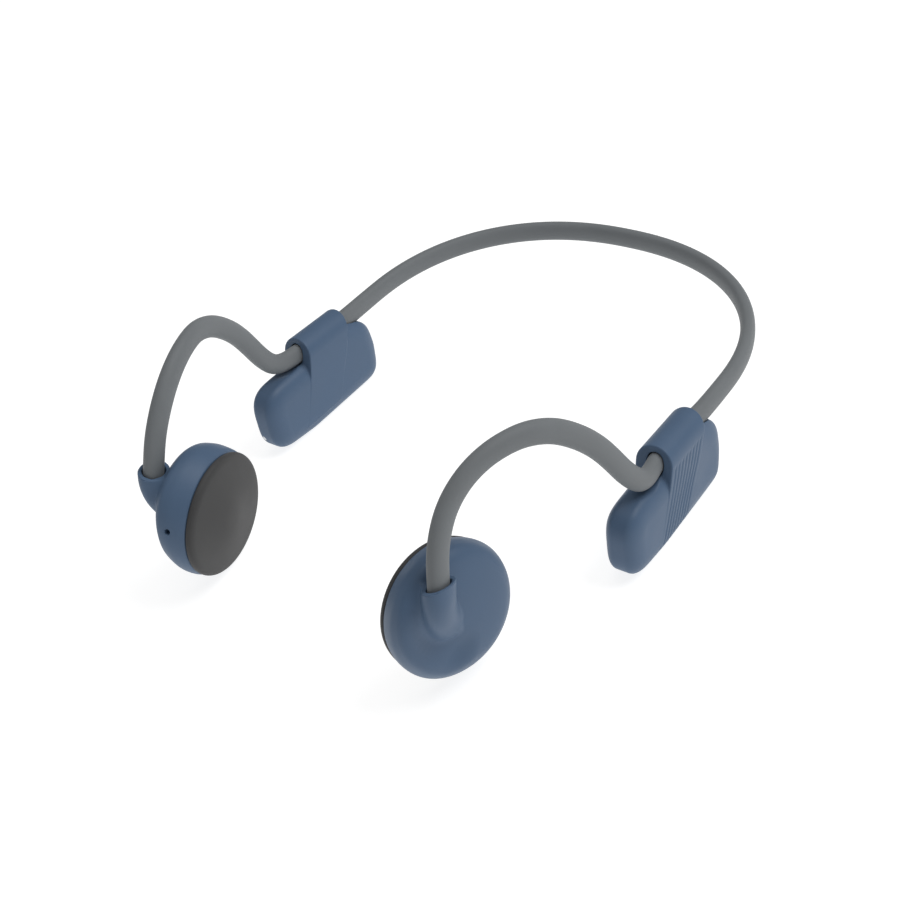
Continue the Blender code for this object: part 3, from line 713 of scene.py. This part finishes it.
def ear_field(p, right=False):
    a, b, w = ear_local(p)
    r = ear_radius(a, b, w)
    cup = polygon_distance(r, w, CUP_POLYGON) * 0.95
    hollow = polygon_distance(r, w, np.array(CUP_HOLLOW + [(-4.0, 6.8), (-4.0, -3.0)]))
    cup = smooth_max(cup, CUP_RIM - w, 0.3)
    valley = VALLEY.distance(p)[0]
    cup = smooth_max(cup, -valley, VALLEY_BLEND)
    ridge, _, v = RIDGE.distance(p)
    mouth = (p[:, 2] - MOUTH_Z - MOUTH_SLANT[0] * (p[:, 0] - MOUTH_MIDDLE[0])
             - MOUTH_SLANT[1] * (p[:, 1] - MOUTH_MIDDLE[1]))
    ridge = smooth_max(ridge, mouth / MOUTH_STEEPNESS, 0.25)
    blend = CREASE_BLEND + FOOT_BLEND * ease(1.2, -1.2, v)
    body = smooth_min(cup, ridge, blend)
    socket = SOCKET.distance(p, SOCKET_PLAY)[0]
    body = smooth_max(body, -socket, 0.25)
    body = np.maximum(body, -hollow)
    if right:
        body = smooth_max(body, -mic_hole(p), 0.15)
    return body


def ear_places():
    step = 0.28 * DETAIL
    a = np.arange(-16.6, 15.2, step)
    b = np.arange(-16.9, 20.4, step)
    w = np.arange(-0.9, 14.8, step)
    grid = np.stack(np.meshgrid(a, b, w, indexing="ij"), -1)
    return EAR_CENTRE + grid[..., :1] * EAR_S + grid[..., 1:2] * EAR_L + grid[..., 2:] * EAR_N


def add_earpiece(side, mirrored, finish, pad_finish):
    field = lambda p: ear_field(p, mirrored)
    points, faces = skin(field, ear_places())
    faces = outward(points, faces.tolist())
    housing = object_from(f"earpiece_case_{side}", points, faces, finish, mirrored, own_normals=True)
    corner_normals(housing, field, mirrored)
    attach(housing, "frame")
    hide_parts(f"earpiece_housing_{side}")

    sides = 96
    turn = 2.0 * np.pi * np.arange(sides) / sides
    profile = catmull(PAD_PROFILE, 4)
    profile = np.vstack([[(0.6, 0.65), (5.0, 0.65), (9.5, 0.65), (13.4, 0.65)], profile])
    rings = []
    for radius, depth in profile:
        a = np.cos(turn) * EAR_SHORT_RADIUS / EAR_RADIUS * radius
        b = np.sin(turn) * EAR_LONG_RADIUS / EAR_RADIUS * radius
        grow = swell(a, b, np.full(sides, -0.1))
        rings.append(EAR_CENTRE + (a * grow)[:, None] * EAR_S + (b * grow)[:, None] * EAR_L + depth * EAR_N)
    points, faces = loft_mesh(np.array(rings))
    pad = object_from(f"ear_cushion_{side}", points, outward(points, faces), pad_finish, mirrored)
    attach(pad, "frame")
    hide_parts(f"earpiece_pad_{side}")


# ---------------------------------------------------------------- tubes

def soften_ends(rings, radius=0.25):
    """Extra rings that round a sleeve's outer end edges."""
    def end(first, second):
        ahead = unit(first.mean(0) - second.mean(0))
        centre = first.mean(0)
        out = []
        for turn in (0.0, 30.0, 60.0, 90.0):
            t = math.radians(turn)
            shrink = radius * (1 - math.sin(t))
            spoke = first - centre
            out.append(centre + spoke * (1 - shrink / np.linalg.norm(spoke, axis=1, keepdims=True))
                       + ahead * (radius * math.cos(t) - radius))
        return out
    head = end(rings[0], rings[1])
    tail = end(rings[-1], rings[-2])
    return np.array(head + list(rings[1:-1]) + tail[::-1])


def add_sleeve(name, tube, node, finish, mirrored=False):
    sides = 48
    outer = soften_ends(tube.rings(sides))
    turn = 2.0 * np.pi * np.arange(sides) / sides
    inner_core = Tube(tube.route, level if node == "neckband_cover" else sideways,
                      BORE_HALF_WIDE, BORE_HALF_TALL, 2.0).rings(sides)
    inner = np.array([inner_core[0]] * 4 + list(inner_core[1:-1]) + [inner_core[-1]] * 4)
    for i in range(3):
        inner[i] += (outer[i].mean(0) - inner[i].mean(0))
        inner[-1 - i] += (outer[-1 - i].mean(0) - inner[-1 - i].mean(0))
    points, faces = tube_mesh(outer, inner)
    piece = object_from(name, points, outward(points, faces), finish, mirrored)
    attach(piece, "frame")
    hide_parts(node)


# ---------------------------------------------------------------- controls

def stadium(half_long, half_wide, count=40):
    """A long round-ended outline, as unit points."""
    out = []
    straight = half_long - half_wide
    for i in range(count):
        turn = 2.0 * math.pi * (i + 0.5) / count
        c, s = math.cos(turn), math.sin(turn)
        out.append((math.copysign(straight, c) + half_wide * c, half_wide * s))
    return np.array(out)


def stacked(levels, outline_at, place):
    """A closed solid from outlines at levels; place puts (u, v, level) into the drawing."""
    rings = np.array([[place(u, v, height) for u, v in outline_at(inset)] for height, inset in levels])
    return loft_mesh(rings)


def add_buttons(finish):
    for name, middle in VOLUME_BUTTONS.items():
        levels = [(3.6, -0.6), (2.55, -0.6), (2.55, 0.0), (0.75, 0.0), (0.52, 0.03), (0.36, 0.12),
                  (0.28, 0.28), (0.25, 0.50), (0.25, 0.80)]
        points, faces = stacked(levels,
                                lambda inset: stadium(VOLUME_HALF_LONG - inset, VOLUME_HALF_WIDE - inset),
                                lambda u, v, height: (POD_X + v, middle + u, height))
        piece = object_from(f"{name}_cap", points, outward(points, faces), finish, True)
        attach(piece, name)
        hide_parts(name)
    by, bz = MULTI_BUTTON_YZ

    def disc(inset):
        turn = 2.0 * np.pi * np.arange(64) / 64
        return np.stack([np.cos(turn), np.sin(turn)], 1) * (MULTI_RADIUS - inset)
    levels = [(1.85, -0.7), (2.35, -0.7), (2.35, 0.0), (3.7, 0.0), (3.88, 0.03), (4.0, 0.10), (4.07, 0.22),
              (4.09, 0.4), (4.05, 0.7), (3.98, 1.2), (3.93, 1.8), (3.91, 2.4), (3.90, 2.8)]
    points, faces = stacked(levels, disc, lambda u, v, height: (POD_X + height, by + u, bz + v))
    piece = object_from("multi_button_cap", points, outward(points, faces), finish, True)
    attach(piece, "multi_button")
    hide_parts("multi_button")


def flap_field(p):
    x, y, z = p[:, 0] - POD_X, p[:, 1], p[:, 2]
    plate = smooth_max(case_field(x, y, z) + 0.03, round_rect(z - PORT_Z, x, *PORT_COVER), 0.3)
    plate = smooth_max(plate, PORT_FACE_Y + 0.05 - y, 0.1)
    plug = np.maximum(round_rect(z - PORT_Z, x, *PORT_PLUG), np.maximum(21.25 - y, y - 22.5))
    return smooth_min(plate, plug, 0.15)


def lens_field(p):
    x, y, z = p[:, 0] - POD_X, p[:, 1], p[:, 2]
    return smooth_max(case_field(x, y, z) + 0.02, light_hole(x, y, z) + 0.04, 0.05)


def add_small(name, node, body, field, low, high, step, finish):
    axes = [np.arange(a, b + step, step) for a, b in zip(low, high)]
    places = np.stack(np.meshgrid(*axes, indexing="ij"), -1)
    points, faces = skin(field, places)
    piece = object_from(name, points, outward(points, faces.tolist()), finish, True, own_normals=True)
    corner_normals(piece, field, True)
    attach(piece, body)
    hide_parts(node)


# ---------------------------------------------------------------- materials

def new_material(name):
    made = bpy.data.materials.new(name)
    made.use_nodes = True
    return made, made.node_tree.nodes, made.node_tree.links, made.node_tree.nodes["Principled BSDF"]


def moulded(name, colour, roughness, grain=0.10, grain_scale=9000.0, mottle=0.05, sheen=0.0, coat=0.0,
            metallic=0.0, stretch=(1.0, 1.0, 1.0), spread=0.06):
    """A surface with mottled colour, uneven gloss and fine grain, all from noise."""
    made, nodes, links, shader = new_material(name)
    place = nodes.new("ShaderNodeTexCoord")
    mapping = nodes.new("ShaderNodeMapping")
    mapping.inputs["Scale"].default_value = stretch
    links.new(place.outputs["Object"], mapping.inputs["Vector"])

    broad = nodes.new("ShaderNodeTexNoise")
    broad.inputs["Scale"].default_value = 120.0
    broad.inputs["Detail"].default_value = 5.0
    fine = nodes.new("ShaderNodeTexNoise")
    fine.inputs["Scale"].default_value = grain_scale
    fine.inputs["Detail"].default_value = 3.0
    for texture in (broad, fine):
        links.new(mapping.outputs["Vector"], texture.inputs["Vector"])

    ramp = nodes.new("ShaderNodeValToRGB")
    ramp.color_ramp.elements[0].position = 0.30
    ramp.color_ramp.elements[1].position = 0.70
    ramp.color_ramp.elements[0].color = (*[c * (1.0 - mottle) for c in colour], 1.0)
    ramp.color_ramp.elements[1].color = (*[c * (1.0 + mottle) for c in colour], 1.0)
    links.new(broad.outputs["Fac"], ramp.inputs["Fac"])

    speckle = nodes.new("ShaderNodeMix")
    speckle.data_type = "RGBA"
    speckle.blend_type = "MULTIPLY"
    speckle.inputs["Factor"].default_value = 1.0
    tone = nodes.new("ShaderNodeMapRange")
    tone.inputs["To Min"].default_value = 0.96
    tone.inputs["To Max"].default_value = 1.04
    links.new(fine.outputs["Fac"], tone.inputs["Value"])
    links.new(ramp.outputs["Color"], speckle.inputs["A"])
    links.new(tone.outputs["Result"], speckle.inputs["B"])
    links.new(speckle.outputs["Result"], shader.inputs["Base Color"])

    gloss = nodes.new("ShaderNodeMapRange")
    gloss.inputs["From Min"].default_value = 0.3
    gloss.inputs["From Max"].default_value = 0.7
    gloss.inputs["To Min"].default_value = roughness - spread
    gloss.inputs["To Max"].default_value = roughness + spread
    links.new(broad.outputs["Fac"], gloss.inputs["Value"])
    links.new(gloss.outputs["Result"], shader.inputs["Roughness"])

    bump = nodes.new("ShaderNodeBump")
    bump.inputs["Strength"].default_value = grain
    bump.inputs["Distance"].default_value = 0.00003
    links.new(fine.outputs["Fac"], bump.inputs["Height"])
    links.new(bump.outputs["Normal"], shader.inputs["Normal"])

    shader.inputs["Metallic"].default_value = metallic
    shader.inputs["Specular IOR Level"].default_value = 0.22
    shader.inputs["Sheen Weight"].default_value = sheen
    shader.inputs["Sheen Roughness"].default_value = 0.5
    shader.inputs["Coat Weight"].default_value = coat
    shader.inputs["Coat Roughness"].default_value = 0.3
    return made


def foil_wrap(name):
    """The battery's crinkled foil."""
    made, nodes, links, shader = new_material(name)
    place = nodes.new("ShaderNodeTexCoord")
    folds = nodes.new("ShaderNodeTexVoronoi")
    folds.inputs["Scale"].default_value = 420.0
    links.new(place.outputs["Object"], folds.inputs["Vector"])
    ramp = nodes.new("ShaderNodeValToRGB")
    ramp.color_ramp.elements[0].color = (0.42, 0.43, 0.45, 1.0)
    ramp.color_ramp.elements[1].color = (0.66, 0.67, 0.69, 1.0)
    links.new(folds.outputs["Distance"], ramp.inputs["Fac"])
    links.new(ramp.outputs["Color"], shader.inputs["Base Color"])
    bump = nodes.new("ShaderNodeBump")
    bump.inputs["Strength"].default_value = 0.4
    bump.inputs["Distance"].default_value = 0.0001
    links.new(folds.outputs["Distance"], bump.inputs["Height"])
    links.new(bump.outputs["Normal"], shader.inputs["Normal"])
    shader.inputs["Metallic"].default_value = 0.8
    shader.inputs["Roughness"].default_value = 0.35
    return made


def board_green(name):
    """A circuit board: green lacquer over copper traces."""
    made, nodes, links, shader = new_material(name)
    place = nodes.new("ShaderNodeTexCoord")
    traces = nodes.new("ShaderNodeTexBrick")
    traces.inputs["Scale"].default_value = 500.0
    traces.inputs["Color1"].default_value = (0.010, 0.090, 0.040, 1.0)
    traces.inputs["Color2"].default_value = (0.012, 0.120, 0.050, 1.0)
    traces.inputs["Mortar"].default_value = (0.060, 0.220, 0.080, 1.0)
    traces.inputs["Mortar Size"].default_value = 0.04
    turned = nodes.new("ShaderNodeMapping")
    turned.inputs["Rotation"].default_value = (0.0, math.radians(90.0), 0.0)
    links.new(place.outputs["Object"], turned.inputs["Vector"])
    links.new(turned.outputs["Vector"], traces.inputs["Vector"])
    links.new(traces.outputs["Color"], shader.inputs["Base Color"])
    bump = nodes.new("ShaderNodeBump")
    bump.inputs["Strength"].default_value = 0.3
    bump.inputs["Distance"].default_value = 0.00004
    links.new(traces.outputs["Fac"], bump.inputs["Height"])
    links.new(bump.outputs["Normal"], shader.inputs["Normal"])
    shader.inputs["Roughness"].default_value = 0.4
    return made


def wound_wire(name):
    """Copper wire wound in turns."""
    made, nodes, links, shader = new_material(name)
    place = nodes.new("ShaderNodeTexCoord")
    turns = nodes.new("ShaderNodeTexWave")
    turns.inputs["Scale"].default_value = 1300.0
    turns.inputs["Distortion"].default_value = 0.4
    links.new(place.outputs["Object"], turns.inputs["Vector"])
    ramp = nodes.new("ShaderNodeValToRGB")
    ramp.color_ramp.elements[0].color = (0.30, 0.10, 0.04, 1.0)
    ramp.color_ramp.elements[1].color = (0.80, 0.38, 0.20, 1.0)
    links.new(turns.outputs["Fac"], ramp.inputs["Fac"])
    links.new(ramp.outputs["Color"], shader.inputs["Base Color"])
    bump = nodes.new("ShaderNodeBump")
    bump.inputs["Strength"].default_value = 0.6
    bump.inputs["Distance"].default_value = 0.00005
    links.new(turns.outputs["Fac"], bump.inputs["Height"])
    links.new(bump.outputs["Normal"], shader.inputs["Normal"])
    shader.inputs["Metallic"].default_value = 1.0
    shader.inputs["Roughness"].default_value = 0.4
    return made


SHELL_BLUE = (0.083, 0.134, 0.217)
TUBE_GREY = (0.175, 0.188, 0.197)
PAD_GREY = (0.056, 0.056, 0.057)

shell = moulded("shell_plastic", SHELL_BLUE, 0.46, grain=0.10, mottle=0.02)
tube_rubber = moulded("tube_silicone", TUBE_GREY, 0.58, grain=0.14, grain_scale=7000.0, mottle=0.03,
                      sheen=0.05)
pad_rubber = moulded("pad_silicone", PAD_GREY, 0.60, grain=0.20, grain_scale=6000.0, mottle=0.04, sheen=0.05)
flap_rubber = moulded("flap_rubber", tuple(0.9 * c for c in SHELL_BLUE), 0.60, grain=0.16, mottle=0.04)
black_plastic = moulded("button_plastic", (0.020, 0.022, 0.026), 0.42, grain=0.10, mottle=0.05)
steel = moulded("spring_steel", (0.60, 0.60, 0.62), 0.30, grain=0.25, metallic=1.0,
                stretch=(1.0, 0.06, 1.0))
jacket = moulded("cable_jacket", (0.03, 0.03, 0.03), 0.5, grain=0.15)
can_metal = moulded("shield_tin", (0.62, 0.63, 0.65), 0.32, grain=0.3, metallic=1.0, mottle=0.08)
nickel = moulded("magnet_plating", (0.66, 0.64, 0.60), 0.24, grain=0.15, metallic=1.0, mottle=0.05)
lens_finish = moulded("light_lens", (0.80, 0.82, 0.85), 0.25, grain=0.05, mottle=0.02, coat=0.3)
foil = foil_wrap("battery_foil_wrap")
board = board_green("board_lacquer")
copper = wound_wire("coil_winding")

CAD_FINISHES = {
    "wire_clamp": steel, "neckband_wire": steel, "ear_hook_wire": steel, "vibration_plate": steel,
    "transducer_yoke": can_metal, "radio_module": can_metal, "charging_socket": can_metal,
    "microphone": can_metal, "neckband_cable": jacket, "ear_hook_cable": jacket, "battery_cell": foil,
    "battery_board": board, "main_board": board, "voice_coil": copper, "transducer_magnet": nickel,
    "multi_switch": black_plastic, "volume_down_switch": black_plastic, "volume_up_switch": black_plastic,
}
for node_name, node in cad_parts.items():
    for prefix, finish in CAD_FINISHES.items():
        if node_name.startswith(prefix):
            node.data.materials.clear()
            node.data.materials.append(finish)


# ---------------------------------------------------------------- the pieces

add_sleeve("neckband_sleeve", BAND, "neckband_cover", tube_rubber)
for side_name, is_right in (("left", False), ("right", True)):
    add_sleeve(f"ear_hook_sleeve_{side_name}", HOOK, f"ear_hook_cover_{side_name}", tube_rubber, is_right)
    add_pod(side_name, is_right, shell)
    add_earpiece(side_name, is_right, shell, pad_rubber)
add_buttons(black_plastic)
add_small("port_flap", "port_cover", "port_cover", flap_field,
          (POD_X - 2.6, 21.0, PORT_Z - 5.2), (POD_X + 2.6, 24.0, PORT_Z + 5.2), 0.14 * DETAIL, flap_rubber)
add_small("light_window", "status_light", "frame", lens_field,
          (LIGHT_XYZ[0] - 0.8, -17.8, LIGHT_XYZ[2] - 1.1), (LIGHT_XYZ[0] + 0.8, -13.2, LIGHT_XYZ[2] + 1.1),
          0.08, lens_finish)


# ---------------------------------------------------------------- camera, floor and light

def add_camera():
    azimuth, elevation, roll = math.radians(41.34), math.radians(38.40), math.radians(-10.28)
    back = Vector((math.sin(azimuth) * math.cos(elevation), -math.cos(azimuth) * math.cos(elevation),
                   math.sin(elevation)))
    level_right = Vector((math.cos(azimuth), math.sin(azimuth), 0.0))
    level_up = back.cross(level_right)
    right = math.cos(roll) * level_right + math.sin(roll) * level_up
    up = back.cross(right)
    turned = Matrix((right, up, back)).transposed().to_4x4()
    data = bpy.data.cameras.new("camera")
    data.lens = 50.0
    data.sensor_width = 36.0
    data.clip_start = 0.01
    made = bpy.data.objects.new("camera", data)
    made.matrix_world = Matrix.Translation((0.14524, -0.17899, 0.18579)) @ turned
    bpy.context.scene.collection.objects.link(made)
    bpy.context.scene.camera = made


def add_floor():
    bpy.ops.mesh.primitive_plane_add(size=6.0, location=(0.0, 0.0, 0.0))
    floor = bpy.context.object
    floor.name = "studio_floor"
    made, nodes, links, shader = new_material("floor_white")
    shader.inputs["Base Color"].default_value = (0.40, 0.40, 0.40, 1.0)
    shader.inputs["Roughness"].default_value = 0.9
    shader.inputs["Specular IOR Level"].default_value = 0.1
    shader.inputs["Emission Color"].default_value = (1.0, 1.0, 1.0, 1.0)
    shader.inputs["Emission Strength"].default_value = 0.82
    floor.data.materials.append(made)


def add_area(name, place, target, size, power):
    data = bpy.data.lights.new(name, "AREA")
    data.shape = "DISK"
    data.size = size
    data.energy = power
    made = bpy.data.objects.new(name, data)
    made.location = place
    made.rotation_euler = (Vector(target) - Vector(place)).to_track_quat("-Z", "Y").to_euler()
    bpy.context.scene.collection.objects.link(made)


def add_light():
    world = bpy.data.worlds.new("studio")
    world.use_nodes = True
    world.node_tree.nodes["Background"].inputs["Color"].default_value = (1.0, 1.0, 1.0, 1.0)
    world.node_tree.nodes["Background"].inputs["Strength"].default_value = 0.26
    bpy.context.scene.world = world
    centre = (0.0, 0.0, 0.02)
    add_area("key_light", (0.46, 0.32, 0.82), centre, 0.6, 4.7)
    add_area("top_light", (-0.1, 0.1, 0.9), centre, 0.7, 1.6)


add_camera()
add_floor()
add_light()
bpy.context.scene.view_settings.view_transform = "Standard"
